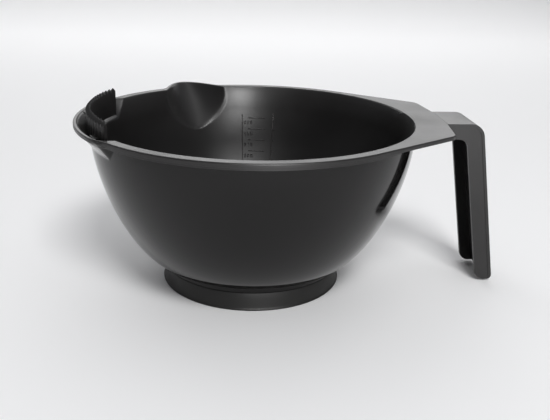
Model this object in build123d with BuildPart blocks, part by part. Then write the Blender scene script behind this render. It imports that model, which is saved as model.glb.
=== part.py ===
"""Hair color bowl: a moulded tinting bowl with a channel handle, a wiping comb and a rubber foot ring.

The origin is the centre of the base on the table, +Z is up, and the handle points along +X. Sizes in mm.
"""

import os
from math import atan2, cos, degrees, radians, sin, sqrt, tan

from build123d import *

os.makedirs("parts", exist_ok=True)

# Bowl body
HEIGHT = 75.0  # table to the top of the rim
RIM_RADIUS = 75.0
RIM_THICKNESS = 2.0
STEP_RADIUS = 74.0  # thin second step under the rim
STEP_DEPTH = 1.2
OPENING_RADIUS = 70.3
WALL = 1.8
SKIN = ((70.7, 72.0), (70.7, 47.2), (53.0, 12.0), (39.6, 10.4))  # Bezier points of the wall's outside
HOLLOW_RADIUS = 68.9
FLARE_BOTTOM = 71.0  # above this height the hollow widens to the opening
LINING = ((HOLLOW_RADIUS, FLARE_BOTTOM), (HOLLOW_RADIUS, 47.6), (51.8, 13.7), (39.5, 12.2))  # of its inside
FLOOR_UNDERSIDE = 10.4
FLOOR_FILLET = 9.0

# Foot of the bowl and its rubber ring
FOOT_RADIUS = 37.8
FOOT_WALL = 2.2
FOOT_BOTTOM = 1.1
COLLAR_RADIUS = 40.1
COLLAR_BOTTOM = 8.2
RING_TOP_RADIUS = 40.0
RING_BOTTOM_RADIUS = 40.4
RING_BEAD = 0.55  # radius of the bead at the table
RING_LIP_RADIUS = 33.6  # the ring turns in under the foot as far as this
FIT = 0.06  # gap left between pieces that are pressed or snapped together

# Tab that carries the handle
TAB_END = 83.8
TAB_SHOULDER_X = 81.4
TAB_HALF_WIDTH = 33.0
TAB_CORNER_RADIUS = 6.0

# Handle: a channel open toward the bowl
STRAP_HALF_WIDTH = 12.5
STRAP_THICKNESS = 2.0
CHANNEL_DEPTH = 7.8
LEG_DEPTH = 7.0  # of the channel where it runs level under the tab
BEND_X = 100.0  # where the outer faces of the two legs would meet
GRIP_BOTTOM_X = 112.4
GRIP_BOTTOM = 1.0
BEND_RADIUS = 6.5
INNER_BEND_RADIUS = 4.5
GRIP_TOE_RADIUS = 2.0
GRIP_HEEL_RADIUS = 4.5
TONGUE_START = 74.4
TONGUE_THICKNESS = 2.0
TONGUE_STEP = 2.2  # length of the step that joins the tongue to the strap
RAIL_WIDTH = 1.8
RAIL_HOOK = 1.6  # how far each rail reaches under the channel
RAIL_START = 68.6
RAIL_END = 79.5
SNAP_X = 78.0
SNAP_RADIUS = 2.2

# Trough on the side opposite the handle: its floor is a ramp that falls toward the bowl
TROUGH_AZIMUTH = 184.0
TROUGH_DEPTH = 7.85  # below the rim where the ramp meets the bowl's hollow
TROUGH_OUTER_RADIUS = 77.2
TROUGH_INNER_RADIUS = 75.6  # top of the ramp
TROUGH_HALF_WIDTH = 40.2  # between the sides, at the rim
TROUGH_SIDE_LEAN = 36.0  # degrees by which the sides lean in
TROUGH_SIDE_WALL = 2.3
TROUGH_CORNER_ANGLE = 28.0  # from the middle of the trough to the corners of its outline
TROUGH_ROOT = (60.0, 45.0)  # where its outline leaves the rim
MARK_ANGLE = 9.5
MARK_RADIUS = 74.2
MARK_LENGTH = 2.4
MARK_WIDTH = 1.1
MARK_DEPTH = 0.6

# Comb in the mouth of the trough
COMB_INNER_RADIUS = 69.9
COMB_THICKNESS = 1.3
COMB_HALF_ANGLE = 29.0
COMB_HEIGHT = 6.2  # above the rim
TOOTH_COUNT = 22
TOOTH_DEPTH = 1.0
RIB_RADIUS = 1.0
RIB_CENTRE_RADIUS = 70.8
PRONG_ANGLE = 22.0
PRONG_CENTRE_RADIUS = 72.5
PRONG_WIDTH = 4.0
PRONG_THICKNESS = 1.1
PRONG_END = 69.5
PAD_HEIGHT = 1.2
PAD_MARGIN = 0.8  # each pad is this much longer than its prong at both ends
TOOTH_BEVEL_START = 0.5  # where the bevel of the teeth starts, from the inner face
SLOT_GAP = 0.08
SLOT_BOTTOM = 69.3

# Pouring lip on the side of the bowl
LIP_AZIMUTH = 113.0
LIP_ROOT = 67.2  # from the bowl's axis to the plane in which the lip's hollow meets the wall
LIP_REACH = 86.6  # from the bowl's axis to the tip
LIP_HALF_WIDTH = 17.0
LIP_FOOT_Z = 54.4
LIP_SECTIONS = (0.0, 0.3, 0.55, 0.78, 0.95)  # share of the lip's height, from the rim down


def polar(radius, angle):
    """Point at an angle in degrees from +X."""
    return radius * cos(radians(angle)), radius * sin(radians(angle))


def lip_section(share, grow):
    """Level section of the pouring lip at a share of its height below the rim, grown for its outside."""
    half_width = LIP_HALF_WIDTH * (1 - share**2.2) ** 0.65 + grow
    reach = (LIP_REACH - LIP_ROOT) * (1 - share) + grow
    points = []
    for across in (-1, -0.9, -0.72, -0.48, -0.24, 0, 0.24, 0.48, 0.72, 0.9, 1):
        points.append((LIP_ROOT + reach * (1 - across**2) ** 1.4, half_width * across))
    with BuildSketch(mode=Mode.PRIVATE) as section:
        with BuildLine():
            Spline(*points)
            Polyline(points[-1], (LIP_ROOT / 2, half_width), (LIP_ROOT / 2, -half_width), points[0])
        make_face()
    return section.sketch


def ramp_height(radius):
    """Height of the trough's ramp at a distance from the bowl's axis."""
    return HEIGHT - TROUGH_DEPTH + (radius - HOLLOW_RADIUS) * ramp_slope


def prong_plan(angle, gap):
    """Plan of one prong of the comb, or of its slot when a gap is given."""
    with BuildSketch(mode=Mode.PRIVATE) as plan:
        with Locations(Location((*polar(PRONG_CENTRE_RADIUS, angle), 0), (0, 0, angle))):
            Rectangle(PRONG_THICKNESS + 2 * gap, PRONG_WIDTH + 2 * gap)
    return plan.sketch


floor_top = FLOOR_UNDERSIDE + WALL
ramp_slope = TROUGH_DEPTH / (TROUGH_INNER_RADIUS - HOLLOW_RADIUS)
rim_underside = HEIGHT - RIM_THICKNESS
leg_underside = HEIGHT - LEG_DEPTH
prong_angles = (TROUGH_AZIMUTH - PRONG_ANGLE, TROUGH_AZIMUTH + PRONG_ANGLE)
lip_plane = Plane(origin=(0, 0, 0), x_dir=(*polar(1, LIP_AZIMUTH), 0), z_dir=(0, 0, 1))
trough_plane = Plane(origin=(0, 0, HEIGHT), x_dir=(*polar(1, TROUGH_AZIMUTH), 0), z_dir=(0, 0, 1))

# Tangents from the shoulders of the tab to the rim
shoulder_reach = sqrt(TAB_SHOULDER_X**2 + TAB_HALF_WIDTH**2)
shoulder_angle = degrees(atan2(TAB_HALF_WIDTH, TAB_SHOULDER_X))
tangent_angle = shoulder_angle + degrees(atan2(sqrt(shoulder_reach**2 - RIM_RADIUS**2), RIM_RADIUS))


def trough_sector(half_width):
    """Block between the trough's leaning sides, starting a little above the rim."""
    with BuildPart(mode=Mode.PRIVATE) as sector:
        with BuildSketch(Plane(origin=(0, 0, HEIGHT + 1), x_dir=trough_plane.x_dir, z_dir=(0, 0, -1))):
            with Locations((TROUGH_OUTER_RADIUS, 0)):
                Rectangle(TROUGH_OUTER_RADIUS, 2 * (half_width + tan(radians(TROUGH_SIDE_LEAN))))
        extrude(amount=TROUGH_DEPTH + 3 * WALL, taper=TROUGH_SIDE_LEAN)
    return sector.part


def trough_ring(points):
    """Ring round the bowl's axis whose section is a polygon of (radius, height) points."""
    with BuildPart(mode=Mode.PRIVATE) as ring:
        with BuildSketch(Plane.XZ):
            with BuildLine():
                Polyline(*points, close=True)
            make_face()
        revolve(axis=Axis.Z)
    return ring.part


# Trough as two solids: its outside, whose section starts within the bowl's wall, and its recess
ramp_drop = WALL / cos(atan2(ramp_slope, 1))
inside_wall = HOLLOW_RADIUS + WALL / 3
inside_lip = TROUGH_OUTER_RADIUS - WALL / 6
trough_outside = trough_ring(
    (
        (inside_wall, HEIGHT - RIM_THICKNESS / 4),
        (inside_lip, HEIGHT - RIM_THICKNESS / 4),
        (inside_lip, ramp_height(inside_lip) - ramp_drop),
        (inside_wall, ramp_height(inside_wall) - ramp_drop),
    )
).intersect(trough_sector(TROUGH_HALF_WIDTH + TROUGH_SIDE_WALL))
trough_recess = trough_ring(
    (
        (HOLLOW_RADIUS - 5, HEIGHT + 1),
        (TROUGH_INNER_RADIUS, HEIGHT + 1),
        (TROUGH_INNER_RADIUS, HEIGHT),
        (HOLLOW_RADIUS, ramp_height(HOLLOW_RADIUS)),
        (HOLLOW_RADIUS - 5, ramp_height(HOLLOW_RADIUS)),
    )
).intersect(trough_sector(TROUGH_HALF_WIDTH))

with BuildPart() as bowl:
    # Wall: a curved skin turned about the axis
    with BuildSketch(Plane.XZ):
        with BuildLine():
            skin = Bezier(*SKIN)
            Polyline(skin @ 1, (0, FLOOR_UNDERSIDE), (0, SKIN[0][1]), skin @ 0)
        make_face()
    revolve(axis=Axis.Z)

    # Foot: a collar that shows, and a plain skirt that the rubber ring grips
    with BuildSketch(Plane.XY.offset(COLLAR_BOTTOM)):
        Circle(COLLAR_RADIUS)
    extrude(amount=FLOOR_UNDERSIDE + WALL / 2 - COLLAR_BOTTOM)
    with BuildSketch(Plane.XY.offset(FOOT_BOTTOM)):
        Circle(FOOT_RADIUS)
    extrude(amount=FLOOR_UNDERSIDE - FOOT_BOTTOM)
    with BuildSketch(Plane.XY.offset(FOOT_BOTTOM)):
        Circle(FOOT_RADIUS - FOOT_WALL)
    extrude(amount=FLOOR_UNDERSIDE - FOOT_BOTTOM, mode=Mode.SUBTRACT)

    # Rim flange with the tab for the handle
    with BuildSketch(Plane.XY.offset(rim_underside)) as rim_plan:
        Circle(RIM_RADIUS)
        with BuildLine():
            Polyline(
                polar(RIM_RADIUS, tangent_angle),
                (TAB_SHOULDER_X, TAB_HALF_WIDTH),
                (TAB_END, STRAP_HALF_WIDTH),
                (TAB_END, -STRAP_HALF_WIDTH),
                (TAB_SHOULDER_X, -TAB_HALF_WIDTH),
                polar(RIM_RADIUS, -tangent_angle),
                close=True,
            )
        make_face()
        for side in (-1, 1):
            shoulder = rim_plan.vertices().sort_by_distance((TAB_SHOULDER_X, side * TAB_HALF_WIDTH))[0]
            fillet(shoulder, TAB_CORNER_RADIUS)
    extrude(amount=RIM_THICKNESS)
    with BuildSketch(Plane.XY.offset(rim_underside - STEP_DEPTH)):
        Circle(STEP_RADIUS)
    extrude(amount=STEP_DEPTH)

    # Outside of the trough: a lip that runs on from the rim, and the underside of the ramp
    corner_x, corner_y = polar(TROUGH_OUTER_RADIUS, TROUGH_CORNER_ANGLE)
    root_x, root_y = TROUGH_ROOT
    with BuildSketch(trough_plane):
        with BuildLine():
            ThreePointArc((corner_x, corner_y), (TROUGH_OUTER_RADIUS, 0), (corner_x, -corner_y))
            Polyline((corner_x, -corner_y), (root_x, -root_y), (root_x, root_y), (corner_x, corner_y))
        make_face()
    extrude(amount=-RIM_THICKNESS)
    add(trough_outside)

    # Outside of the pouring lip
    for share in LIP_SECTIONS:
        with BuildSketch(lip_plane.offset(HEIGHT - share * (HEIGHT - LIP_FOOT_Z + WALL))):
            add(lip_section(share, WALL))
    loft()

    # Hollow of the bowl, with a rounded floor and a flare just under the rim
    with BuildSketch(Plane.XZ) as hollow:
        with BuildLine():
            lining = Bezier(*LINING)
            Polyline(lining @ 1, (0, floor_top), (0, HEIGHT), (OPENING_RADIUS, HEIGHT), lining @ 0)
        make_face()
        fillet(hollow.vertices().group_by(Axis.Y)[0].sort_by(Axis.X)[-1], FLOOR_FILLET)
    revolve(axis=Axis.Z, mode=Mode.SUBTRACT)

    # Hollow of the pouring lip
    for share in LIP_SECTIONS:
        with BuildSketch(lip_plane.offset(HEIGHT - share * (HEIGHT - LIP_FOOT_Z))):
            add(lip_section(share, 0))
    loft(mode=Mode.SUBTRACT)

    # Recess of the trough, with two short grooves in its ramp
    add(trough_recess, mode=Mode.SUBTRACT)
    for angle in (TROUGH_AZIMUTH - MARK_ANGLE, TROUGH_AZIMUTH + MARK_ANGLE):
        inward_x, inward_y = polar(-ramp_slope, angle)
        on_ramp = Plane(
            origin=(*polar(MARK_RADIUS, angle), ramp_height(MARK_RADIUS)),
            x_dir=(*polar(1, angle), ramp_slope),
            z_dir=(inward_x, inward_y, 1),
        )
        with BuildSketch(on_ramp):
            SlotOverall(MARK_LENGTH, MARK_WIDTH)
        extrude(amount=-MARK_DEPTH, mode=Mode.SUBTRACT)

    # Slots in the ramp for the comb's prongs
    for angle in prong_angles:
        with BuildSketch(Plane.XY.offset(HEIGHT)):
            add(prong_plan(angle, SLOT_GAP))
        extrude(amount=SLOT_BOTTOM - HEIGHT, mode=Mode.SUBTRACT)

    # Rails under the tab that hold the channel of the handle
    rail_y = STRAP_HALF_WIDTH + FIT
    rail_top = HEIGHT - RIM_THICKNESS / 2
    for side in (-1, 1):
        with BuildSketch(Plane.YZ.offset(RAIL_START)):
            with BuildLine():
                Polyline(
                    (side * rail_y, rail_top),
                    (side * rail_y, leg_underside - FIT),
                    (side * (rail_y - RAIL_HOOK), leg_underside - FIT),
                    (side * (rail_y - RAIL_HOOK), leg_underside - FIT - RAIL_WIDTH),
                    (side * (rail_y + RAIL_WIDTH), leg_underside - FIT - RAIL_WIDTH),
                    (side * (rail_y + RAIL_WIDTH), rail_top),
                    close=True,
                )
            make_face()
        extrude(amount=RAIL_END - RAIL_START)

    # Stud that snaps into the tongue of the handle
    with BuildSketch(Plane.XY.offset(rim_underside)):
        with Locations((SNAP_X, 0)):
            Circle(SNAP_RADIUS)
    extrude(amount=-TONGUE_THICKNESS)

bowl.part.label = "bowl"
export_step(bowl.part, "parts/bowl.step")

# Handle: side profile of the bent channel, hollowed from the bowl's side
grip_lean = (GRIP_BOTTOM_X - BEND_X) / (HEIGHT - GRIP_BOTTOM)
inner_corner_x = BEND_X - CHANNEL_DEPTH + grip_lean * LEG_DEPTH
strap_start = TAB_END + FIT
tongue_top = rim_underside - FIT

with BuildPart() as handle:
    with BuildSketch(Plane.XZ) as side_profile:
        with BuildLine():
            Polyline(
                (TONGUE_START, tongue_top),
                (strap_start, tongue_top),
                (strap_start, HEIGHT),
                (BEND_X, HEIGHT),
                (GRIP_BOTTOM_X, GRIP_BOTTOM),
                (GRIP_BOTTOM_X - CHANNEL_DEPTH, GRIP_BOTTOM),
                (inner_corner_x, leg_underside),
                (TONGUE_START, leg_underside),
                close=True,
            )
        make_face()
        for corner, radius in (
            ((BEND_X, HEIGHT), BEND_RADIUS),
            ((inner_corner_x, leg_underside), INNER_BEND_RADIUS),
            ((GRIP_BOTTOM_X, GRIP_BOTTOM), GRIP_TOE_RADIUS),
            ((GRIP_BOTTOM_X - CHANNEL_DEPTH, GRIP_BOTTOM), GRIP_HEEL_RADIUS),
        ):
            fillet(side_profile.vertices().sort_by_distance(corner)[0], radius)
    extrude(amount=STRAP_HALF_WIDTH, both=True)

    # Hollow of the channel: everything inside the strap and between the two flanges
    with BuildSketch(Plane.XZ) as channel:
        with BuildLine():
            Polyline(
                (TONGUE_START - 1, tongue_top - TONGUE_THICKNESS),
                (strap_start + TONGUE_STEP, tongue_top - TONGUE_THICKNESS),
                (strap_start + TONGUE_STEP, HEIGHT - STRAP_THICKNESS),
                (BEND_X - STRAP_THICKNESS, HEIGHT - STRAP_THICKNESS),
                (GRIP_BOTTOM_X - STRAP_THICKNESS + grip_lean, GRIP_BOTTOM - 1),
                (GRIP_BOTTOM_X - 2 * CHANNEL_DEPTH, GRIP_BOTTOM - 1),
                (inner_corner_x - 2 * CHANNEL_DEPTH, leg_underside - CHANNEL_DEPTH),
                (TONGUE_START - 1, leg_underside - CHANNEL_DEPTH),
                close=True,
            )
        make_face()
        bend = (BEND_X - STRAP_THICKNESS, HEIGHT - STRAP_THICKNESS)
        fillet(channel.vertices().sort_by_distance(bend)[0], BEND_RADIUS - STRAP_THICKNESS)
    extrude(amount=STRAP_HALF_WIDTH - STRAP_THICKNESS, both=True, mode=Mode.SUBTRACT)

    # Hole in the tongue for the bowl's stud
    with BuildSketch(Plane.XY.offset(HEIGHT)):
        with Locations((SNAP_X, 0)):
            Circle(SNAP_RADIUS + FIT)
    extrude(amount=-CHANNEL_DEPTH, mode=Mode.SUBTRACT)

handle.part.label = "handle"
export_step(handle.part, "parts/handle.step")

# Rubber ring: a drafted sleeve with a bead at the table and a lip under the foot
with BuildPart() as foot_ring:
    with BuildSketch(Plane.XZ):
        with BuildLine():
            Polyline(
                (RING_LIP_RADIUS, 0),
                (RING_BOTTOM_RADIUS, 0),
                (RING_TOP_RADIUS, COLLAR_BOTTOM - FIT),
                (FOOT_RADIUS + FIT, COLLAR_BOTTOM - FIT),
                (FOOT_RADIUS + FIT, FOOT_BOTTOM - FIT),
                (RING_LIP_RADIUS, FOOT_BOTTOM - FIT),
                close=True,
            )
        make_face()
        with Locations((RING_BOTTOM_RADIUS - RING_BEAD / 2, RING_BEAD)):
            Circle(RING_BEAD)
    revolve(axis=Axis.Z)

foot_ring.part.label = "foot_ring"
export_step(foot_ring.part, "parts/foot_ring.step")

# Comb: a ribbed arc with notched teeth that follows the ramp, with two pads and prongs outside it
comb_top = HEIGHT + COMB_HEIGHT
comb_bottom = HEIGHT - TROUGH_DEPTH
comb_outer_radius = COMB_INNER_RADIUS + COMB_THICKNESS
comb_start = TROUGH_AZIMUTH - COMB_HALF_ANGLE
pitch = 2 * COMB_HALF_ANGLE / TOOTH_COUNT
prong_outer_radius = PRONG_CENTRE_RADIUS + PRONG_THICKNESS / 2
pad_bottom = ramp_height(prong_outer_radius) + 2 * FIT

with BuildPart() as brush_comb:
    with BuildSketch(Plane.XY.offset(comb_bottom)):
        with BuildLine():
            inner_arc = CenterArc((0, 0), COMB_INNER_RADIUS, comb_start, 2 * COMB_HALF_ANGLE)
            outer_arc = CenterArc((0, 0), comb_outer_radius, comb_start, 2 * COMB_HALF_ANGLE)
            Line(inner_arc @ 0, outer_arc @ 0)
            Line(inner_arc @ 1, outer_arc @ 1)
        make_face()
        rib_span = (TOOTH_COUNT - 1) * pitch
        with PolarLocations(RIB_CENTRE_RADIUS, TOOTH_COUNT, comb_start + pitch / 2, rib_span):
            Circle(RIB_RADIUS)
    extrude(amount=comb_top - comb_bottom)

    # Outer edge of the teeth, sloping down toward the ribs, and the foot, which follows the ramp
    bevel_start = COMB_INNER_RADIUS + TOOTH_BEVEL_START
    foot_start = COMB_INNER_RADIUS - RIB_RADIUS
    foot_end = comb_outer_radius + RIB_RADIUS
    with BuildSketch(Plane.XZ):
        with BuildLine():
            Polyline(
                (-bevel_start, comb_top),
                (-bevel_start - 3, comb_top),
                (-bevel_start - 3, comb_top - 3),
                close=True,
            )
        make_face()
        with BuildLine():
            Polyline(
                (-foot_start, ramp_height(foot_start) + 2 * FIT),
                (-foot_end, ramp_height(foot_end) + 2 * FIT),
                (-foot_end, comb_bottom - 2),
                (-foot_start, comb_bottom - 2),
                close=True,
            )
        make_face()
    revolve(axis=Axis.Z, mode=Mode.SUBTRACT)

    # Notches between the teeth
    notch_half_width = radians(pitch / 2) * comb_outer_radius
    for i in range(TOOTH_COUNT + 1):
        edge = comb_start + i * pitch
        across = Plane(origin=(0, 0, comb_top), x_dir=(*polar(1, edge + 90), 0), z_dir=(*polar(1, edge), 0))
        with BuildSketch(across.offset(COMB_INNER_RADIUS - 1)):
            with BuildLine():
                Polyline((-notch_half_width, 0), (0, -TOOTH_DEPTH), (notch_half_width, 0), close=True)
            make_face()
        extrude(amount=COMB_THICKNESS + 2 * RIB_RADIUS + 1, mode=Mode.SUBTRACT)

    # Pads that rest on the ramp, each with a prong
    pad_reach = prong_outer_radius - COMB_INNER_RADIUS - COMB_THICKNESS / 2
    for angle in prong_angles:
        with BuildSketch(Plane.XY.offset(pad_bottom)):
            with Locations(Location((*polar(prong_outer_radius - pad_reach / 2, angle), 0), (0, 0, angle))):
                Rectangle(pad_reach, PRONG_WIDTH + 2 * PAD_MARGIN)
        extrude(amount=PAD_HEIGHT)
        with BuildSketch(Plane.XY.offset(pad_bottom)):
            add(prong_plan(angle, 0))
        extrude(amount=PRONG_END - pad_bottom)

brush_comb.part.label = "brush_comb"
export_step(brush_comb.part, "parts/brush_comb.step")
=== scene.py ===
"""Looks of the hair color bowl: a glossy black moulding with its handle, comb and rubber foot ring.

It stands on a pale studio floor. Sizes are in millimetres unless a comment says otherwise.
"""

import math

import bmesh
import bpy
import numpy as np
from mathutils import Matrix, Vector


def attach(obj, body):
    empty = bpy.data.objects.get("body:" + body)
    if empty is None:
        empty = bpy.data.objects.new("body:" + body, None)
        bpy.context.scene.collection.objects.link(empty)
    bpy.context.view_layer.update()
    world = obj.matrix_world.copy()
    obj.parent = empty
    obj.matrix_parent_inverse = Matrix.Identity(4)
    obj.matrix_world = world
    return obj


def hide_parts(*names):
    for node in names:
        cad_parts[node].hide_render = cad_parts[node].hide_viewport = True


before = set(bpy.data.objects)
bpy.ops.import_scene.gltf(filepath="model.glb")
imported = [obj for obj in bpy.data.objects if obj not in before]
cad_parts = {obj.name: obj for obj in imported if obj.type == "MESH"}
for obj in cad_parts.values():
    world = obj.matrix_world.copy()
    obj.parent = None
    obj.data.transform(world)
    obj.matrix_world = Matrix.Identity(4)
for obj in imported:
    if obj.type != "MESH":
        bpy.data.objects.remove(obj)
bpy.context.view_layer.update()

MM = 0.001

# Moulding; its outermost sizes are a hair inside the CAD model's box
HEIGHT = 75.0
RIM_RADIUS = 74.99
RIM_UNDERSIDE = 73.0
STEP_RADIUS = 74.0
STEP_UNDERSIDE = 71.8
STEP_SLOPE = 0.25  # height over which a step under the rim swings out
STEP_BLEND = 0.2
OPENING_RADIUS = 70.3
FLARE_BOTTOM = 64.0
WALL = 1.8
HOLLOW_RADIUS = 68.9
SKIN = ((70.7, 72.0), (70.7, 47.2), (53.0, 12.0), (39.6, 10.4))  # Bezier points of the wall's section
LINING = ((68.9, 71.0), (68.9, 47.6), (51.8, 13.7), (39.5, 12.2))
FLOOR_TOP = 12.2
FLOOR_BLEND = 1.4
LINING_END_SLOPE = 0.13
FLOOR_UNDERSIDE = 10.4
EDGE = 0.5  # rounding of the rim's edges
CRISP_EDGE = 0.06  # the same where the handle's strap meets the tab
FINE_FROM = 49.8  # height where the wall's rows get closer together
SATIN_FROM = 71.6  # height where the gloss outside ends

# Foot
COLLAR_RADIUS = 40.1
COLLAR_BOTTOM = 8.2
FOOT_RADIUS = 37.8
FOOT_WALL = 2.2
FOOT_BOTTOM = 1.1

# Tab for the handle
TAB_END = 83.8
TAB_SHOULDER = (81.4, 33.0)
STRAP_HALF_WIDTH = 12.5
TAB_BLEND = 2.2

# Trough opposite the handle: its floor is a ramp that falls toward the bowl
TROUGH_AZIMUTH = math.radians(184.0)
TROUGH_OUTER_RADIUS = 77.17
TROUGH_INNER_RADIUS = 75.6
TROUGH_DEPTH = 7.85
TROUGH_HALF_WIDTH = 40.2
TROUGH_SIDE_WALL = 2.3
TROUGH_SIDE_LEAN = math.tan(math.radians(36.0))
TROUGH_CORNER_ANGLE = math.radians(28.0)
TROUGH_ROOT = (60.0, 45.0)
TROUGH_BOTTOM_CORNERS = (4.0, 1.5)  # rounding between the ramp and its sides, inside and outside
TROUGH_EDGE_CORNER = 0.5
TROUGH_BLENDS = (0.3, 0.4)  # rounding where it meets the wall, inside and outside
TROUGH_SPANS = (math.radians(44.0), math.radians(50.0))  # limits of its edge and of its hollow
RAMP_THICKNESS = 1.54 * WALL
MARK_ANGLE = math.radians(9.5)
MARK_HEIGHTS = (72.15, 74.55)
MARK_HALF_WIDTH = 0.55
MARK_RADIUS = 74.2
MARK_END = 0.5  # length of the slope at both ends of a groove
MARK_DEPTH = 0.8

# Pouring lip
LIP_AZIMUTH = math.radians(113.0)
LIP_ROOT = 67.2
LIP_REACH = 86.56
LIP_HALF_WIDTH = 17.0
LIP_FOOT_Z = 54.4
LIP_TAPER = (2.2, 0.65)  # powers of its outline from the rim to its foot
LIP_CROWN = 1.4  # power of its rounded section
LIP_FLARE = 0.8
LIP_SPAN = math.radians(35.0)
LIP_BLENDS = (0.6, 2.4)  # rounding where it meets the wall, inside and outside

# Rails and stud under the tab
RAILS = (68.6, 79.5)
RAIL_TOP = 74.0
RAIL_FOOT = (66.14, 67.94)  # of the hooks under the channel
RAIL_SPAN = (10.96, 12.56, 14.36)  # hook, inner face and outer face, from the middle
RAIL_EDGE = 0.3
STUD = (78.0, 2.2, 71.0)  # place, radius and lower end
STUD_ROUNDING = 0.6

# Rubber ring round the foot
RING_TOP = (40.0, 8.14)
RING_SIDE_FOOT = 40.4
RING_BEAD = 0.55
RING_INSIDE = (37.86, 33.6)
RING_LIP_TOP = 1.04
RING_EDGE = 0.4

# Handle: side profile in x and z with the radius of each corner, and the hollow of its channel
HANDLE_PROFILE = (
    (74.4, 72.94, 0.0), (83.86, 72.94, 0.0), (83.86, 75.0, 0.0), (100.0, 75.0, 6.5), (112.4, 1.0, 2.0),
    (104.6, 1.0, 4.5), (93.373, 68.0, 4.5), (74.4, 68.0, 0.0),
)
HANDLE_HOLLOW = (
    (73.4, 70.94, 0.0), (86.06, 70.94, 0.0), (86.06, 73.0, 0.0), (98.0, 73.0, 4.5), (110.568, 0.0, 0.0),
    (96.8, 0.0, 0.0), (77.0, 60.2, 0.0), (73.4, 60.2, 0.0),
)
HANDLE_FLANGE = (  # the part of each side that is set in
    (60.0, 73.7, 0.0), (98.9, 73.7, 5.2), (111.3, -1.0, 0.0), (60.0, -1.0, 0.0),
)
HANDLE_INSET = 0.3  # of the flanges behind the edges of the strap
HANDLE_WALL = 2.0
HANDLE_EDGE = 0.25
FIT_GAP = 0.06  # round the stud

# Comb
COMB_INSIDE = 69.9
COMB_OUTSIDE = 71.2
COMB_HALF_ANGLE = math.radians(29.0)
COMB_TOP = 81.18
COMB_GAP = 0.12  # above the ramp
TOOTH_COUNT = 22
TOOTH_DEPTH = 1.3
TOOTH_BEVEL = 0.5
RIB_CENTRE = 70.8
RIB_RADIUS = 1.0
PRONG_ANGLE = math.radians(22.0)
PRONG = (71.95, 73.05, 2.0, 69.5)  # inner and outer radius, half width, lower end
PAD = (70.55, 73.05, 2.8, 72.13, 73.33)  # inner and outer radius, half width, lower and upper face
PRONG_EDGE = 0.2
PAD_EDGE = 0.25
SLOT_GAP = 0.08
SLOT_BOTTOM = 69.3

# Graduations inside the bowl
SCALE_LINES = ((92.0, 35.0, 60.5), (78.2, 36.0, 61.5))  # degrees, lower and upper end
SCALE_TICKS = ((42.0, "300"), (47.5, "375"), (53.0, "450"), (58.7, "525"))
TICK_SPAN = (81.7, 89.2)
SHORT_TICK = (1.3, 0.2)  # degrees before the second line
LINE_HALF_WIDTH = 0.2  # degrees for the lines, millimetres for the ticks
NUMBER_START = 91.2
NUMBER_DROP = 3.2
DIGIT_SIZE = (1.05, 1.7)
DIGIT_STEP = 1.7
MARK_RELIEF = 0.1
STROKE_THICKNESS = 0.2
SEGMENTS = {"0": "abcdef", "2": "abged", "3": "abgcd", "4": "fgbc", "5": "afgcd", "7": "abc"}

# Studio, in metres and watts
PAPER = (0.94, 0.94, 0.945)
WORLD_FRONT, WORLD_BACK = 0.14, 0.6  # strength of the surroundings in front of the object and behind it
WORLD_SEEN = 0.86  # where the camera looks past the floor
LIGHTS = (  # name, place, aim, size and power
    ("top_softbox", (0.05, 0.0, 1.3), (0, 0, 0.05), (1.6, 1.6), 2.0),
    ("back_softbox", (0.0, 1.05, 0.58), (0, 0, 0.07), (1.6, 0.6), 6.0),
    ("front_low_softbox", (0.21, -1.18, 0.2), (0, 0, 0.06), (0.35, 0.22), 10.0),
    ("front_high_softbox", (0.17, -0.85, 0.95), (0, 0, 0.06), (0.42, 0.36), 9.5),
)
LIGHT_KEPT_OFF_FLOOR = "front_low_softbox"
CAMERA_TURN = (-5.0, 19.75, 1.63)  # azimuth, elevation and roll in degrees
CAMERA_DISTANCE = 0.3488
CAMERA_AIM = (0.0105, -0.0012, 0.0314)
LENS, SENSOR = 49.7, 36.0  # millimetres


# ---------------------------------------------------------------- shared helpers

def smooth_max(a, b, width):
    """The larger of two values, rounded where they cross."""
    gap = np.clip(width - np.abs(a - b), 0, None) / width
    return np.maximum(a, b) + gap * gap * width / 4


def smooth_min(a, b, width):
    return -smooth_max(-a, -b, width)


def smooth_step(value, start, length):
    t = np.clip((value - start) / length, 0, 1)
    return t * t * (3 - 2 * t)


def new_object(name, verts, faces, materials, face_slots=None):
    """Makes a smooth-shaded mesh object from millimetre points."""
    mesh = bpy.data.meshes.new(name)
    mesh.from_pydata([tuple(float(c) * MM for c in v) for v in verts], [], faces)
    for material in materials:
        mesh.materials.append(material)
    if face_slots is not None:
        mesh.polygons.foreach_set("material_index", face_slots)
    mesh.polygons.foreach_set("use_smooth", [True] * len(mesh.polygons))
    tidy = bmesh.new()
    tidy.from_mesh(mesh)
    bmesh.ops.recalc_face_normals(tidy, faces=tidy.faces)
    tidy.to_mesh(mesh)
    tidy.free()
    obj = bpy.data.objects.new(name, mesh)
    bpy.context.scene.collection.objects.link(obj)
    return obj


def turned_grid(rows, angles):
    """Closed skin over rows of (radius, height) arrays, one value per angle, with a pole at both ends."""
    count = len(angles)
    cos_a, sin_a = np.cos(angles), np.sin(angles)
    verts = []
    for radius, height in rows:
        radius = np.broadcast_to(radius, count)
        height = np.broadcast_to(height, count)
        verts.extend(zip(radius * cos_a, radius * sin_a, height))
    faces = []
    for i in range(len(rows) - 1):
        for j in range(count):
            k = (j + 1) % count
            faces.append((i * count + j, i * count + k, (i + 1) * count + k, (i + 1) * count + j))
    row_of_face = [i for i in range(len(rows) - 1) for _ in range(count)]
    for row, height in ((0, rows[0][1]), (len(rows) - 1, rows[-1][1])):
        verts.append((0, 0, float(np.mean(height))))
        pole = len(verts) - 1
        for j in range(count):
            faces.append((row * count + (j + 1) % count, row * count + j, pole))
            row_of_face.append(row)
    return verts, faces, row_of_face


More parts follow.
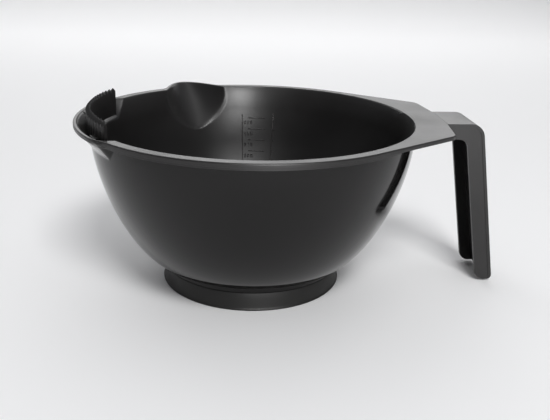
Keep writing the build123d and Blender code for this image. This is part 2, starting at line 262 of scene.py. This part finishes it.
def weighted_normals(obj):
    obj.modifiers.new("weighted_normals", "WEIGHTED_NORMAL").weight = 50


def round_edges(obj, width):
    """Rounds every sharp edge of a mesh and keeps its flat faces flat."""
    bevel = obj.modifiers.new("round_edges", "BEVEL")
    bevel.width = width * MM
    bevel.segments = 3
    bevel.limit_method = "ANGLE"
    bevel.angle_limit = math.radians(35)
    bevel.miter_outer = "MITER_ARC"
    weighted_normals(obj)


def carve(obj, cutters):
    """Cuts the other objects out of a mesh and removes them."""
    for cutter in cutters:
        cut = obj.modifiers.new("cut", "BOOLEAN")
        cut.operation = "DIFFERENCE"
        cut.solver = "EXACT"
        cut.object = cutter
    graph = bpy.context.evaluated_depsgraph_get()
    carved = bpy.data.meshes.new_from_object(obj.evaluated_get(graph))
    obj.modifiers.clear()
    obj.data = carved
    for cutter in cutters:
        bpy.data.objects.remove(cutter)


def rounded_outline(corners, steps=9):
    """Polygon from (u, v, radius) corners, with an arc at each corner that has a radius."""
    outline = []
    for i, (u, v, radius) in enumerate(corners):
        corner = np.array((u, v))
        if radius == 0:
            outline.append(corner)
            continue
        before = np.array(corners[i - 1][:2]) - corner
        after = np.array(corners[(i + 1) % len(corners)][:2]) - corner
        before, after = before / np.hypot(*before), after / np.hypot(*after)
        half = math.acos(before @ after) / 2
        middle = (before + after) / np.hypot(*(before + after))
        centre = corner + middle * radius / math.sin(half)
        start = corner + before * radius / math.tan(half) - centre
        end = corner + after * radius / math.tan(half) - centre
        sweep = math.pi - 2 * half
        for t in np.linspace(0, 1, steps):
            arc = math.sin((1 - t) * sweep) * start + math.sin(t * sweep) * end
            outline.append(centre + arc / math.sin(sweep))
    return outline


def prism(name, outline, axis, start, end, material):
    """Straight solid over an outline of (u, v) points, along x or y."""
    count = len(outline)
    verts = [(u, along, v) if axis == "y" else (along, u, v)
             for along in (start, end) for u, v in outline]
    faces = [tuple(range(count)), tuple(range(2 * count - 1, count - 1, -1))]
    faces += [(i, (i + 1) % count, (i + 1) % count + count, i + count) for i in range(count)]
    return new_object(name, verts, faces, [material])


def radial_block(name, azimuth, inner, outer, half_width, bottom, top, material):
    """Upright block that faces the bowl's axis."""
    verts = []
    for z in (bottom, top):
        for radius, across in ((inner, -half_width), (outer, -half_width),
                               (outer, half_width), (inner, half_width)):
            verts.append((radius * math.cos(azimuth) - across * math.sin(azimuth),
                          radius * math.sin(azimuth) + across * math.cos(azimuth), z))
    faces = [(3, 2, 1, 0), (4, 5, 6, 7)] + [(i, (i + 1) % 4, (i + 1) % 4 + 4, i + 4) for i in range(4)]
    return new_object(name, verts, faces, [material])


def place(obj, body, node):
    """Lets a piece ride its body and hides the CAD part of its node."""
    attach(obj, body)
    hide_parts(node)


# ---------------------------------------------------------------- materials

def plastic(name, color, roughness, spread, grain_scale, grain_height, ior=1.5):
    """Moulded plastic: colour and roughness wander slowly, and a fine grain lifts the surface."""
    mat = bpy.data.materials.new(name)
    mat.use_nodes = True
    nodes, links = mat.node_tree.nodes, mat.node_tree.links
    shader = nodes["Principled BSDF"]
    position = nodes.new("ShaderNodeTexCoord")
    slow = nodes.new("ShaderNodeTexNoise")
    slow.inputs["Scale"].default_value = 38.0
    slow.inputs["Detail"].default_value = 5.0
    links.new(position.outputs["Object"], slow.inputs["Vector"])
    tint = nodes.new("ShaderNodeMixRGB")
    tint.inputs[1].default_value = (*[c * 0.82 for c in color], 1)
    tint.inputs[2].default_value = (*[c * 1.18 for c in color], 1)
    links.new(slow.outputs["Fac"], tint.inputs[0])
    links.new(tint.outputs[0], shader.inputs["Base Color"])
    rough = nodes.new("ShaderNodeMapRange")
    rough.inputs["From Min"].default_value = 0.3
    rough.inputs["From Max"].default_value = 0.7
    rough.inputs["To Min"].default_value = roughness - spread
    rough.inputs["To Max"].default_value = roughness + spread
    links.new(slow.outputs["Fac"], rough.inputs["Value"])
    links.new(rough.outputs[0], shader.inputs["Roughness"])
    grain = nodes.new("ShaderNodeTexNoise")
    grain.inputs["Scale"].default_value = grain_scale
    grain.inputs["Detail"].default_value = 3.0
    links.new(position.outputs["Object"], grain.inputs["Vector"])
    bump = nodes.new("ShaderNodeBump")
    bump.inputs["Strength"].default_value = 1.0
    bump.inputs["Distance"].default_value = grain_height * MM
    links.new(grain.outputs["Fac"], bump.inputs["Height"])
    links.new(bump.outputs["Normal"], shader.inputs["Normal"])
    shader.inputs["IOR"].default_value = ior
    return mat


GLOSS = plastic("black_gloss_plastic", (0.003, 0.0027, 0.0027), 0.085, 0.02, 900, 0.0004, 1.38)
SATIN = plastic("black_satin_plastic", (0.006, 0.0055, 0.0055), 0.38, 0.05, 1800, 0.004)
HANDLE = plastic("handle_satin_plastic", (0.0065, 0.006, 0.006), 0.36, 0.05, 1700, 0.004)
COMB = plastic("comb_satin_plastic", (0.006, 0.0055, 0.0055), 0.40, 0.05, 1800, 0.004)
RUBBER = plastic("black_rubber", (0.005, 0.0048, 0.0045), 0.5, 0.07, 2600, 0.008, 1.4)
SCALE = plastic("raised_scale_plastic", (0.02, 0.018, 0.018), 0.32, 0.04, 1800, 0.002)


# ---------------------------------------------------------------- the bowl's shape

def bezier(points, count=400):
    """Radii and heights along a Bezier section, from the rim down."""
    t = np.linspace(0, 1, count)
    share = ((1 - t) ** 3, 3 * (1 - t) ** 2 * t, 3 * (1 - t) * t * t, t ** 3)
    radius = sum(s * p[0] for s, p in zip(share, points))
    height = sum(s * p[1] for s, p in zip(share, points))
    return radius, height


SKIN_CURVE = bezier(SKIN)
LINING_CURVE = bezier(LINING)


def radius_at(curve, z):
    """Radius of a section at a height."""
    return float(np.interp(z, curve[1][::-1], curve[0][::-1]))


def tab_reach(angle):
    """Distance from the axis to the edge of the tab, which leaves the rim along a tangent."""
    x, y = TAB_SHOULDER
    tangent = math.atan2(y, x) + math.acos(RIM_RADIUS / math.hypot(x, y))
    turn = np.abs((angle + math.pi) % (2 * math.pi) - math.pi)
    side = RIM_RADIUS / np.cos(np.clip(turn - tangent, -1.4, 1.4))
    end_normal = np.array([y - STRAP_HALF_WIDTH, TAB_END - x])
    end_normal = end_normal / np.hypot(*end_normal)
    end_offset = end_normal @ np.array([TAB_END, STRAP_HALF_WIDTH])
    front = np.clip(turn, 0, 1.2)
    slant = end_offset / (end_normal[0] * np.cos(front) + end_normal[1] * np.sin(front))
    flat = TAB_END / np.cos(front)
    reach = smooth_min(side, np.minimum(slant, flat), TAB_BLEND)
    return np.where(turn < tangent, reach, RIM_RADIUS)


def turn_from(angle, azimuth):
    """Signed turn from an azimuth to an angle, within half a circle."""
    return (angle - azimuth + math.pi) % (2 * math.pi) - math.pi


def trough_outline(angle):
    """Distance from the axis to the edge of the trough's lip, or 0 away from it."""
    turn = np.abs(turn_from(angle, TROUGH_AZIMUTH))
    corner = TROUGH_OUTER_RADIUS * np.array([math.cos(TROUGH_CORNER_ANGLE), math.sin(TROUGH_CORNER_ANGLE)])
    run = np.array(TROUGH_ROOT) - corner
    normal = np.array([run[1], -run[0]]) / np.hypot(*run)
    side = (normal @ corner) / np.maximum(normal[0] * np.cos(turn) + normal[1] * np.sin(turn), 0.2)
    reach = smooth_min(np.full_like(angle, TROUGH_OUTER_RADIUS), side, TROUGH_EDGE_CORNER)
    return np.where(turn < TROUGH_SPANS[0], reach, 0)


def trough_reach(angle, z, shift, side_wall, rounding):
    """Distance from the axis to the ramp, lowered by shift, between the trough's leaning sides."""
    turn = np.abs(turn_from(angle, TROUGH_AZIMUTH))
    slope = TROUGH_DEPTH / (TROUGH_INNER_RADIUS - HOLLOW_RADIUS)
    ramp = HOLLOW_RADIUS + (z - HEIGHT + TROUGH_DEPTH + shift) / slope
    half_width = TROUGH_HALF_WIDTH + side_wall - (HEIGHT - z) * TROUGH_SIDE_LEAN
    side = half_width / np.maximum(np.sin(turn), 0.1)
    reach = smooth_min(np.full_like(angle, ramp), side, rounding)
    return np.where(turn < TROUGH_SPANS[1], reach, 0)


def mark_depth(angle, z):
    """Depth of the two short grooves in the ramp."""
    across = np.abs(np.abs(turn_from(angle, TROUGH_AZIMUTH)) - MARK_ANGLE) * MARK_RADIUS
    low, high = MARK_HEIGHTS
    along = smooth_step(z, low, MARK_END) * (1 - smooth_step(z, high - MARK_END, MARK_END))
    return MARK_DEPTH * along * (1 - smooth_step(across, MARK_HALF_WIDTH - 0.15, 0.3))


def lip_reach(angle, z, grow):
    """Distance from the axis to the pouring lip's surface, or 0 away from it."""
    turn = turn_from(angle, LIP_AZIMUTH)
    share = (HEIGHT - z) / (HEIGHT - LIP_FOOT_Z + grow)
    if share >= 1:
        return np.zeros_like(angle)
    half_width = LIP_HALF_WIDTH * (1 - share ** LIP_TAPER[0]) ** LIP_TAPER[1] + grow
    bulge = (LIP_REACH - LIP_ROOT) * (1 - share) + grow
    low, high = np.full_like(angle, 55.0), np.full_like(angle, 95.0)
    for _ in range(28):  # halving finds the radius where the ray leaves the lip
        middle = (low + high) / 2
        across = np.abs(middle * np.sin(turn))
        inner = np.clip(1 - (across / half_width) ** 2, 0, 1) ** LIP_CROWN
        surface = LIP_ROOT + bulge * inner - np.clip(across - half_width, 0, None) * LIP_FLARE
        outside_it = middle * np.cos(turn) > surface
        high = np.where(outside_it, middle, high)
        low = np.where(outside_it, low, middle)
    return np.where(np.abs(turn) < LIP_SPAN, (low + high) / 2, 0)


def rim_outline(angle):
    """Distance from the axis to the outer edge of the flange."""
    reach = np.maximum(RIM_RADIUS, tab_reach(angle))
    reach = smooth_max(reach, trough_outline(angle), 0.3)
    return smooth_max(reach, lip_reach(angle, HEIGHT, WALL), LIP_BLENDS[1])


def opening_outline(angle):
    """Distance from the axis to the inner edge of the rim."""
    recess = trough_reach(angle, HEIGHT, 0, 0, TROUGH_BOTTOM_CORNERS[0])
    reach = smooth_max(np.full_like(angle, OPENING_RADIUS), recess, 0.8)
    return smooth_max(reach, lip_reach(angle, HEIGHT, 0), LIP_BLENDS[0])


def outside(angle, z):
    """Radius of the outer skin below the rim's top edge."""
    reach = np.full_like(angle, radius_at(SKIN_CURVE, z))
    reach = smooth_max(reach, lip_reach(angle, z, WALL), LIP_BLENDS[1])
    if z > HEIGHT - TROUGH_DEPTH - 2 * WALL:
        underside = trough_reach(angle, z, RAMP_THICKNESS, TROUGH_SIDE_WALL, TROUGH_BOTTOM_CORNERS[1])
        reach = smooth_max(reach, np.minimum(underside, TROUGH_OUTER_RADIUS - WALL / 6), TROUGH_BLENDS[1])
    step = np.clip(smooth_max(reach, STEP_RADIUS, STEP_BLEND) - reach, 0, None)
    reach = reach + step * smooth_step(z, STEP_UNDERSIDE, STEP_SLOPE)
    flange = np.clip(rim_outline(angle) - reach, 0, None)
    return reach + flange * smooth_step(z, RIM_UNDERSIDE, STEP_SLOPE)


def inside(angle, z):
    """Radius of the hollow below the rim's top edge."""
    flare = max(z - FLARE_BOTTOM, 0) / (HEIGHT - FLARE_BOTTOM)
    base = radius_at(LINING_CURVE, z) + (OPENING_RADIUS - HOLLOW_RADIUS) * flare ** 2
    reach = np.full_like(angle, base)
    if z > HEIGHT - TROUGH_DEPTH:
        recess = trough_reach(angle, z, 0, 0, TROUGH_BOTTOM_CORNERS[0])
        reach = smooth_max(reach, recess + mark_depth(angle, z), TROUGH_BLENDS[0])
    return smooth_max(reach, lip_reach(angle, z, 0), LIP_BLENDS[0])


def bowl_angles():
    """Angles round the bowl, closer together at the tab, the lip, the trough and its two grooves."""
    fine = [(-60, 60, 0.6), (60, 86, 1.0), (86, 140, 0.35), (140, 173.4, 0.35), (173.4, 175.6, 0.1),
            (175.6, 192.4, 0.35), (192.4, 194.6, 0.1), (194.6, 228, 0.35), (228, 300, 1.0)]
    return np.radians(np.concatenate([np.arange(a, b - 0.05, s) for a, b, s in fine]))


def foot_rows():
    """Radii and heights of the underside and the foot, from the middle out."""
    skirt_inside = FOOT_RADIUS - FOOT_WALL
    return (
        (12, FLOOR_UNDERSIDE), (24, FLOOR_UNDERSIDE), (skirt_inside - 1.0, FLOOR_UNDERSIDE),
        (skirt_inside - 0.3, FLOOR_UNDERSIDE - 0.1), (skirt_inside - 0.1, FLOOR_UNDERSIDE - 0.3),
        (skirt_inside, FLOOR_UNDERSIDE - 1.0), (skirt_inside, 4.0), (skirt_inside, FOOT_BOTTOM + 0.4),
        (skirt_inside + 0.12, FOOT_BOTTOM + 0.12), (skirt_inside + 0.4, FOOT_BOTTOM),
        (FOOT_RADIUS - 0.4, FOOT_BOTTOM), (FOOT_RADIUS - 0.12, FOOT_BOTTOM + 0.12),
        (FOOT_RADIUS, FOOT_BOTTOM + 0.4), (FOOT_RADIUS, 4.5),
        (FOOT_RADIUS, COLLAR_BOTTOM - 0.2), (FOOT_RADIUS + 0.1, COLLAR_BOTTOM),
        (COLLAR_RADIUS - 0.4, COLLAR_BOTTOM), (COLLAR_RADIUS - 0.1, COLLAR_BOTTOM + 0.1),
        (COLLAR_RADIUS, COLLAR_BOTTOM + 0.4), (COLLAR_RADIUS, 9.3),
        (COLLAR_RADIUS + 0.03, 9.9), (COLLAR_RADIUS + 0.15, 10.25),
    )


def outer_heights():
    """Heights of the rows of the outer wall, closer together at the steps under the rim."""
    below = SKIN_CURVE[1][::-1]
    return np.concatenate([
        below[(below > 10.55) & (below < FINE_FROM)][::4],
        np.arange(50.0, 66.3, 0.55), np.arange(66.6, 71.6, 0.25),
        np.arange(71.7, 72.2, 0.07), (72.4, 72.7), np.arange(72.95, 73.35, 0.06), (73.7, 74.1),
    ])


def rim_rows(angles):
    """Rounded top edges of the rim; where the handle's strap meets the tab the edge is crisp."""
    outer, inner = rim_outline(angles), opening_outline(angles)
    at_strap = (np.abs(outer * np.sin(angles)) < STRAP_HALF_WIDTH - 0.1) & (np.cos(angles) > 0)
    edge = np.where(at_strap, CRISP_EDGE, EDGE)
    edge = np.minimum(edge, (outer - inner) * 0.3)
    quarter = np.radians([0, 22.5, 45, 67.5, 90])
    rows = [(outer - edge * (1 - np.cos(turn)), HEIGHT - edge * (1 - np.sin(turn))) for turn in quarter]
    rows += [((outer - edge) * (1 - share) + (inner + edge) * share, HEIGHT) for share in (0.25, 0.5, 0.75)]
    rows += [(inner + edge * (1 - np.sin(turn)), HEIGHT - edge * (1 - np.cos(turn))) for turn in quarter]
    return rows


def hollow_rows(angles):
    """Inner wall from the rim down, and the floor with a rounded edge."""
    heights = np.concatenate([
        np.arange(74.4, 72.9, -0.12), np.arange(72.85, 72.3, -0.07), np.arange(72.2, 68.0, -0.14),
        np.arange(67.9, 50.0, -0.55),
    ])
    rows = [(inside(angles, z), z) for z in heights]
    rows += [(r, z) for r, z in list(zip(*LINING_CURVE))[::4] if FLOOR_TOP + FLOOR_BLEND < z < FINE_FROM]
    wall_end = rows[-1][0]
    lining_end = LINING[3][0]
    for r in np.concatenate([np.arange(wall_end - 0.6, 25.0, -0.6), (20.0, 14.0, 8.0, 3.0)]):
        bare = FLOOR_TOP - LINING_END_SLOPE * max(lining_end - r, 0)
        if r > lining_end:
            bare = np.interp(r, LINING_CURVE[0][::-1], LINING_CURVE[1][::-1])
        rows.append((r, float(smooth_max(np.array(bare), np.array(FLOOR_TOP), FLOOR_BLEND))))
    return rows


def build_bowl():
    """The whole moulding as one closed skin; the wall outside is glossy and the rest satin."""
    angles = bowl_angles()
    glossy = list(foot_rows())
    satin = []
    for z in outer_heights():
        rows = glossy if z < SATIN_FROM else satin
        rows.append((outside(angles, z), z))
    satin += rim_rows(angles) + hollow_rows(angles)
    verts, faces, row_of_face = turned_grid(glossy + satin, angles)
    slots = [0 if row < len(glossy) else 1 for row in row_of_face]
    return new_object("bowl_moulding", verts, faces, [GLOSS, SATIN], slots)


def cut_slots(bowl):
    """Slots in the ramp for the comb's two prongs."""
    inner, outer, half_width, _ = PRONG
    slots = []
    for side in (-1, 1):
        azimuth = TROUGH_AZIMUTH + side * PRONG_ANGLE
        slots.append(radial_block("slot", azimuth, inner - SLOT_GAP, outer + SLOT_GAP, half_width + SLOT_GAP,
                                  SLOT_BOTTOM, 76.0, SATIN))
    carve(bowl, slots)


def build_rails():
    """Two hooked rails under the tab that hold the handle's channel."""
    hook, inner, outer = RAIL_SPAN
    low, high = RAIL_FOOT
    rails = []
    for side, name in ((-1, "rail_front"), (1, "rail_back")):
        outline = [(side * u, v) for u, v in (
            (inner, RAIL_TOP), (inner, high), (hook, high), (hook, low), (outer, low), (outer, RAIL_TOP))]
        rail = prism(name, outline, "x", *RAILS, SATIN)
        round_edges(rail, RAIL_EDGE)
        rails.append(rail)
    return rails


def build_stud():
    """Stud with a rounded end that snaps into the handle's tongue."""
    x, radius, low = STUD
    end = STUD_ROUNDING
    rows = [(radius, 73.4), (radius, 72.2), (radius, low + end)]
    rows += [(radius - end + end * math.cos(t), low + end - end * math.sin(t))
             for t in np.linspace(0.3, math.pi / 2, 5)]
    verts, faces, _ = turned_grid(rows, np.radians(np.arange(0, 360, 10)))
    return new_object("snap_stud", [(vx + x, vy, vz) for vx, vy, vz in verts], faces, [SATIN])


# ---------------------------------------------------------------- graduations inside the bowl

def digit_strokes(digit):
    """Strokes of a plain seven-stroke digit, as boxes in a unit cell."""
    thick = STROKE_THICKNESS
    cells = {
        "a": (0, 1, 1 - thick, 1), "g": (0, 1, 0.5 - thick / 2, 0.5 + thick / 2), "d": (0, 1, 0, thick),
        "f": (0, thick * 1.5, 0.5, 1), "b": (1 - thick * 1.5, 1, 0.5, 1),
        "e": (0, thick * 1.5, 0, 0.5), "c": (1 - thick * 1.5, 1, 0, 0.5),
    }
    return [cells[key] for key in SEGMENTS[digit]]


def build_scale():
    """Raised lines, ticks and numbers that follow the wall of the hollow."""
    verts, faces = [], []

    def strip(start, end, low, high):
        """Raised strip between two azimuths in degrees and two heights."""
        across = np.radians(np.linspace(start, end, max(2, int(abs(end - start) / 1.5) + 2)))
        up = np.linspace(low, high, max(2, int((high - low) / 1.2) + 2))
        base = len(verts)
        for layer in (0.3, -MARK_RELIEF):
            for z in up:
                radius = radius_at(LINING_CURVE, z) + layer
                verts.extend((radius * math.cos(a), radius * math.sin(a), z) for a in across)
        n, m = len(across), len(up)

        def at(layer, row, column):
            return base + (layer * m + row) * n + column

        for i in range(m - 1):
            for j in range(n - 1):
                for layer in (0, 1):
                    faces.append((at(layer, i, j), at(layer, i, j + 1),
                                  at(layer, i + 1, j + 1), at(layer, i + 1, j)))
        for i in range(m - 1):
            for j in (0, n - 1):
                faces.append((at(0, i, j), at(0, i + 1, j), at(1, i + 1, j), at(1, i, j)))
        for j in range(n - 1):
            for i in (0, m - 1):
                faces.append((at(0, i, j), at(0, i, j + 1), at(1, i, j + 1), at(1, i, j)))

    for azimuth, low, high in SCALE_LINES:
        strip(azimuth - LINE_HALF_WIDTH, azimuth + LINE_HALF_WIDTH, low, high)
    second_line = SCALE_LINES[1][0]
    for z, number in SCALE_TICKS:
        strip(*TICK_SPAN, z - LINE_HALF_WIDTH, z + LINE_HALF_WIDTH)
        start, end = (second_line - degrees for degrees in SHORT_TICK)
        strip(start, end, z - LINE_HALF_WIDTH, z + LINE_HALF_WIDTH)
        degree = math.degrees(1 / radius_at(LINING_CURVE, z))
        width, height = DIGIT_SIZE
        for i, digit in enumerate(number):
            left = NUMBER_START - i * DIGIT_STEP * degree
            for u0, u1, v0, v1 in digit_strokes(digit):
                strip(left - u1 * width * degree, left - u0 * width * degree,
                      z - NUMBER_DROP + v0 * height, z - NUMBER_DROP + v1 * height)
    return new_object("volume_scale", verts, faces, [SCALE])


# ---------------------------------------------------------------- handle, foot ring and comb

def build_handle():
    """Bent channel with a strap on top and two flanges toward the bowl."""
    half_width = STRAP_HALF_WIDTH
    handle = prism("handle_channel", rounded_outline(HANDLE_PROFILE), "y", -half_width, half_width, HANDLE)
    hollow_width = half_width - HANDLE_WALL
    hollow = prism("hollow", rounded_outline(HANDLE_HOLLOW), "y", -hollow_width, hollow_width, HANDLE)
    x, radius, _ = STUD
    rows = [(radius + FIT_GAP, 66.0), (radius + FIT_GAP, 76.0)]
    verts, faces, _ = turned_grid(rows, np.radians(np.arange(0, 360, 10)))
    hole = new_object("hole", [(vx + x, vy, vz) for vx, vy, vz in verts], faces, [HANDLE])
    flange = rounded_outline(HANDLE_FLANGE)
    insets = [prism("inset", flange, "y", side * (half_width - HANDLE_INSET), side * (half_width + 1), HANDLE)
              for side in (-1, 1)]
    carve(handle, [hollow, hole, *insets])
    round_edges(handle, HANDLE_EDGE)
    return handle


def build_foot_ring():
    """Rubber sleeve with a bead at the table, a rounded top edge and a lip under the foot."""
    top_radius, top = RING_TOP
    sleeve, lip = RING_INSIDE
    bead_centre = RING_SIDE_FOOT - RING_BEAD / 2
    profile = [(lip, 0.25), (lip + 0.25, 0.0), (38.0, 0.0)]
    for turn in np.radians(np.arange(-90, 66, 15)):
        profile.append((bead_centre + RING_BEAD * math.cos(turn), RING_BEAD + RING_BEAD * math.sin(turn)))
    profile += [(RING_SIDE_FOOT - 0.04, 1.3), (RING_SIDE_FOOT - 0.1, 2.6), (RING_SIDE_FOOT - 0.25, 5.2)]
    for turn in np.radians([0, 30, 60, 90]):
        profile.append((top_radius - RING_EDGE + RING_EDGE * math.cos(turn),
                        top - RING_EDGE + RING_EDGE * math.sin(turn)))
    profile += [(sleeve + 0.2, top), (sleeve, top - 0.2), (sleeve, 4.5), (sleeve, RING_LIP_TOP + 0.2),
                (sleeve - 0.2, RING_LIP_TOP), (lip + 0.2, RING_LIP_TOP), (lip, RING_LIP_TOP - 0.2)]
    angles = np.radians(np.arange(0, 360, 1.5))
    count, size = len(angles), len(profile)
    verts = [(r * math.cos(a), r * math.sin(a), z) for a in angles for r, z in profile]
    faces = []
    for j in range(count):
        k = (j + 1) % count
        faces += [(j * size + i, j * size + (i + 1) % size, k * size + (i + 1) % size, k * size + i)
                  for i in range(size)]
    return new_object("foot_ring_sleeve", verts, faces, [RUBBER])


def ramp_height(radius):
    run = TROUGH_INNER_RADIUS - HOLLOW_RADIUS
    return HEIGHT - TROUGH_DEPTH + (radius - HOLLOW_RADIUS) * TROUGH_DEPTH / run


def comb_section(turn):
    """Closed section of the comb at a turn from its middle: a blade with a rib outside and a tooth on top."""
    pitch = 2 * COMB_HALF_ANGLE / TOOTH_COUNT
    across = ((turn + COMB_HALF_ANGLE) / pitch) % 1 - 0.5
    distance = abs(across) * pitch * RIB_CENTRE
    rib = RIB_CENTRE + math.sqrt(max(RIB_RADIUS ** 2 - distance ** 2, 0))
    rib_edge = float(smooth_max(np.array(rib), np.array(COMB_OUTSIDE), 0.15))
    top = COMB_TOP - TOOTH_DEPTH * abs(2 * across)
    bevel_start = COMB_INSIDE + TOOTH_BEVEL
    section = [(COMB_INSIDE, z) for z in np.linspace(ramp_height(COMB_INSIDE) + COMB_GAP, top - 0.3, 10)]
    section += [(COMB_INSIDE + 0.05, top - 0.12), (COMB_INSIDE + 0.15, top - 0.03), (COMB_INSIDE + 0.3, top)]
    for r in np.linspace(bevel_start, rib_edge - 0.1, 5):
        section.append((r, top - (r - bevel_start)))
    shoulder = top - (rib_edge - bevel_start) - 0.15
    section += [(rib_edge, z) for z in np.linspace(shoulder, ramp_height(rib_edge) + COMB_GAP, 12)]
    return section


def build_comb():
    """Ribbed and toothed arc on two pads with prongs."""
    turns = np.linspace(-COMB_HALF_ANGLE, COMB_HALF_ANGLE, TOOTH_COUNT * 16 + 1)
    sections = [comb_section(t) for t in turns]
    size = len(sections[0])
    verts = []
    for turn, section in zip(turns, sections):
        azimuth = TROUGH_AZIMUTH + turn
        verts.extend((r * math.cos(azimuth), r * math.sin(azimuth), z) for r, z in section)
    faces = [tuple(range(size)), tuple(range(len(verts) - 1, len(verts) - size - 1, -1))]
    for j in range(len(turns) - 1):
        near, far = j * size, (j + 1) * size
        faces += [(near + i, near + (i + 1) % size, far + (i + 1) % size, far + i) for i in range(size)]
    comb = new_object("comb_blade", verts, faces, [COMB])
    comb.data.set_sharp_from_angle(angle=math.radians(50))
    pieces = [comb]
    for side, name in ((-1, "back"), (1, "front")):
        azimuth = TROUGH_AZIMUTH + side * PRONG_ANGLE
        inner, outer, half_width, low = PRONG
        prong = radial_block("comb_prong_" + name, azimuth, inner, outer, half_width, low, PAD[3] + 0.5, COMB)
        pad = radial_block("comb_pad_" + name, azimuth, *PAD, COMB)
        round_edges(prong, PRONG_EDGE)
        round_edges(pad, PAD_EDGE)
        pieces += [prong, pad]
    return pieces


bowl = build_bowl()
cut_slots(bowl)
weighted_normals(bowl)
for piece in [bowl, build_stud(), build_scale(), *build_rails()]:
    place(piece, "bowl_body", "bowl")
place(build_handle(), "bowl_body", "handle")
place(build_foot_ring(), "bowl_body", "foot_ring")
for piece in build_comb():
    place(piece, "comb", "brush_comb")


# ---------------------------------------------------------------- studio

def studio_surface(name, color):
    mat = bpy.data.materials.new(name)
    mat.use_nodes = True
    shader = mat.node_tree.nodes["Principled BSDF"]
    shader.inputs["Base Color"].default_value = (*color, 1)
    shader.inputs["Roughness"].default_value = 0.9
    shader.inputs["Specular IOR Level"].default_value = 0.1
    return mat


def build_floor():
    """Pale floor that sweeps up behind the object."""
    half_width, front, back, height, bend = 3.0, -3.0, 1.6, 2.4, 0.7
    profile = [(front, 0.0), (back - bend, 0.0)]
    for i in range(1, 13):
        turn = math.radians(90 * i / 12)
        profile.append((back - bend + bend * math.sin(turn), bend - bend * math.cos(turn)))
    profile.append((back, height))
    verts = [(x, y, z) for y, z in profile for x in (-half_width, half_width)]
    faces = [(2 * i, 2 * i + 1, 2 * i + 3, 2 * i + 2) for i in range(len(profile) - 1)]
    mesh = bpy.data.meshes.new("floor")
    mesh.from_pydata(verts, [], faces)
    mesh.materials.append(studio_surface("pale_paper", PAPER))
    mesh.polygons.foreach_set("use_smooth", [True] * len(mesh.polygons))
    floor = bpy.data.objects.new("floor", mesh)
    bpy.context.scene.collection.objects.link(floor)
    return floor


def add_area_light(name, spot, aim, size, power):
    data = bpy.data.lights.new(name, "AREA")
    data.shape = "RECTANGLE"
    data.size, data.size_y = size
    data.energy = power
    light = bpy.data.objects.new(name, data)
    light.location = spot
    light.rotation_euler = (Vector(aim) - Vector(spot)).to_track_quat("-Z", "Y").to_euler()
    light.visible_camera = False
    bpy.context.scene.collection.objects.link(light)
    return light


def keep_off(light, thing):
    """Take one thing out of what a light shines on."""
    linked = bpy.data.collections.new(light.name + "_receivers")
    linked.objects.link(thing)
    linked.collection_objects[0].light_linking.link_state = "EXCLUDE"
    light.light_linking.receiver_collection = linked


def add_camera():
    """Camera at 20 degrees above level, a little to the left of the bowl's front, rolled slightly."""
    azimuth, elevation, roll = (math.radians(turn) for turn in CAMERA_TURN)
    forward = Vector((-math.sin(azimuth) * math.cos(elevation), math.cos(azimuth) * math.cos(elevation),
                      -math.sin(elevation)))
    level = forward.cross(Vector((0, 0, 1))).normalized()
    upright = level.cross(forward)
    right = level * math.cos(roll) + upright * math.sin(roll)
    up = upright * math.cos(roll) - level * math.sin(roll)
    data = bpy.data.cameras.new("camera")
    data.sensor_width = SENSOR
    data.lens = LENS
    data.clip_start = 0.01
    camera = bpy.data.objects.new("camera", data)
    camera.matrix_world = Matrix.Translation(Vector(CAMERA_AIM) - forward * CAMERA_DISTANCE) @ Matrix((
        (right.x, up.x, -forward.x, 0),
        (right.y, up.y, -forward.y, 0),
        (right.z, up.z, -forward.z, 0),
        (0, 0, 0, 1),
    ))
    bpy.context.scene.collection.objects.link(camera)
    bpy.context.scene.camera = camera


def add_world():
    """Soft surroundings, brighter behind the object than in front of it."""
    world = bpy.data.worlds.new("studio")
    bpy.context.scene.world = world
    world.use_nodes = True
    nodes, links = world.node_tree.nodes, world.node_tree.links
    direction = nodes.new("ShaderNodeTexCoord")
    split = nodes.new("ShaderNodeSeparateXYZ")
    links.new(direction.outputs["Generated"], split.inputs[0])
    fade = nodes.new("ShaderNodeMapRange")
    fade.inputs["From Min"].default_value = -0.6
    fade.inputs["From Max"].default_value = 0.8
    fade.inputs["To Min"].default_value = WORLD_FRONT
    fade.inputs["To Max"].default_value = WORLD_BACK
    links.new(split.outputs["Y"], fade.inputs["Value"])
    seen = nodes.new("ShaderNodeLightPath")
    choose = nodes.new("ShaderNodeMix")
    choose.inputs["B"].default_value = WORLD_SEEN
    links.new(seen.outputs["Is Camera Ray"], choose.inputs["Factor"])
    links.new(fade.outputs[0], choose.inputs["A"])
    background = nodes["Background"]
    background.inputs["Color"].default_value = (0.96, 0.97, 1.0, 1)
    links.new(choose.outputs["Result"], background.inputs["Strength"])


floor = build_floor()
add_world()
for name, *values in LIGHTS:
    light = add_area_light(name, *values)
    if name == LIGHT_KEPT_OFF_FLOOR:
        keep_off(light, floor)
add_camera()

bpy.context.scene.view_settings.view_transform = "Standard"
